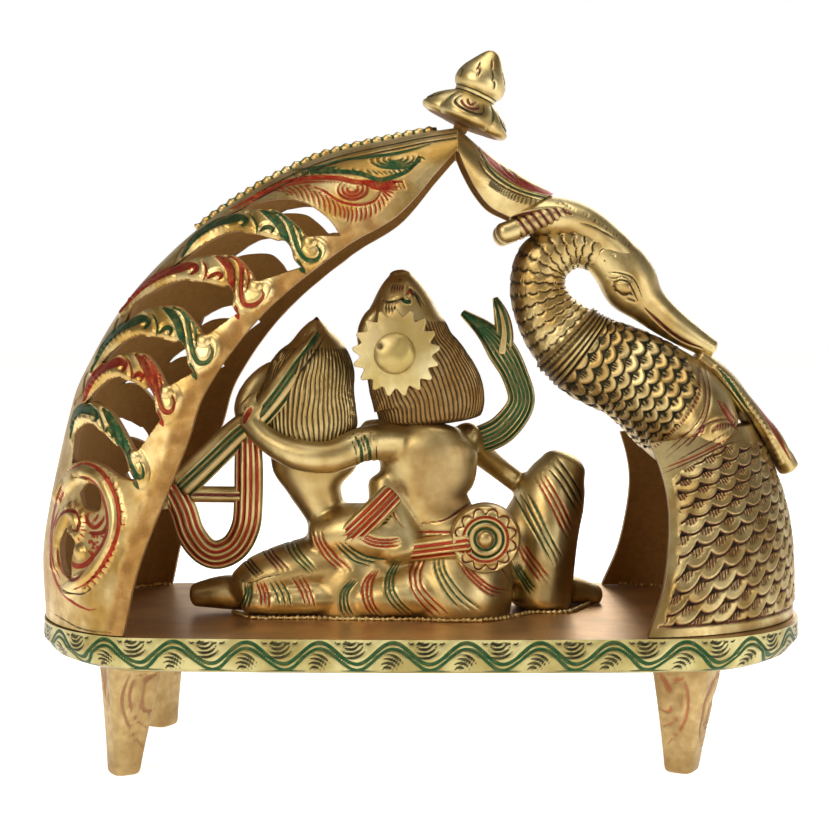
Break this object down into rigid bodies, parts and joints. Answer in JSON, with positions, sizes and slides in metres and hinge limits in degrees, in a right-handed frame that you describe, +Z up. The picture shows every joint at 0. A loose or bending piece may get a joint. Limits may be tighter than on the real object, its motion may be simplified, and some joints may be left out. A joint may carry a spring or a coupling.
{
  "type": "brass figure group",
  "caption": "Cast brass group of a seated couple under a canopy of a pierced tail hood and a scaled swan, on an oval footed base, with inlaid coloured lines.",
  "frame": {"origin": "on the ground under the middle of the footed base", "axes": "+Z up, +X towards the swan along the base's length, +Y towards the front of the seated pair"},
  "size_m": [0.2284, 0.11, 0.212],
  "materials": {
    "base_brass": "polished, aged, with inlaid lines",
    "tail_brass": "cast and polished ridges, dark hollows",
    "swan_brass": "polished, engraved and enamelled lines",
    "figure_brass": "bright polished, enamelled lines",
    "finial_brass": "polished, engraved arcs"
  },
  "bodies": {
    "root": {"footed_base": "base_brass", "tail_canopy": "tail_brass", "swan_canopy": "swan_brass", "krishna_and_radha": "figure_brass", "finial": "finial_brass"}
  },
  "joints": []
}
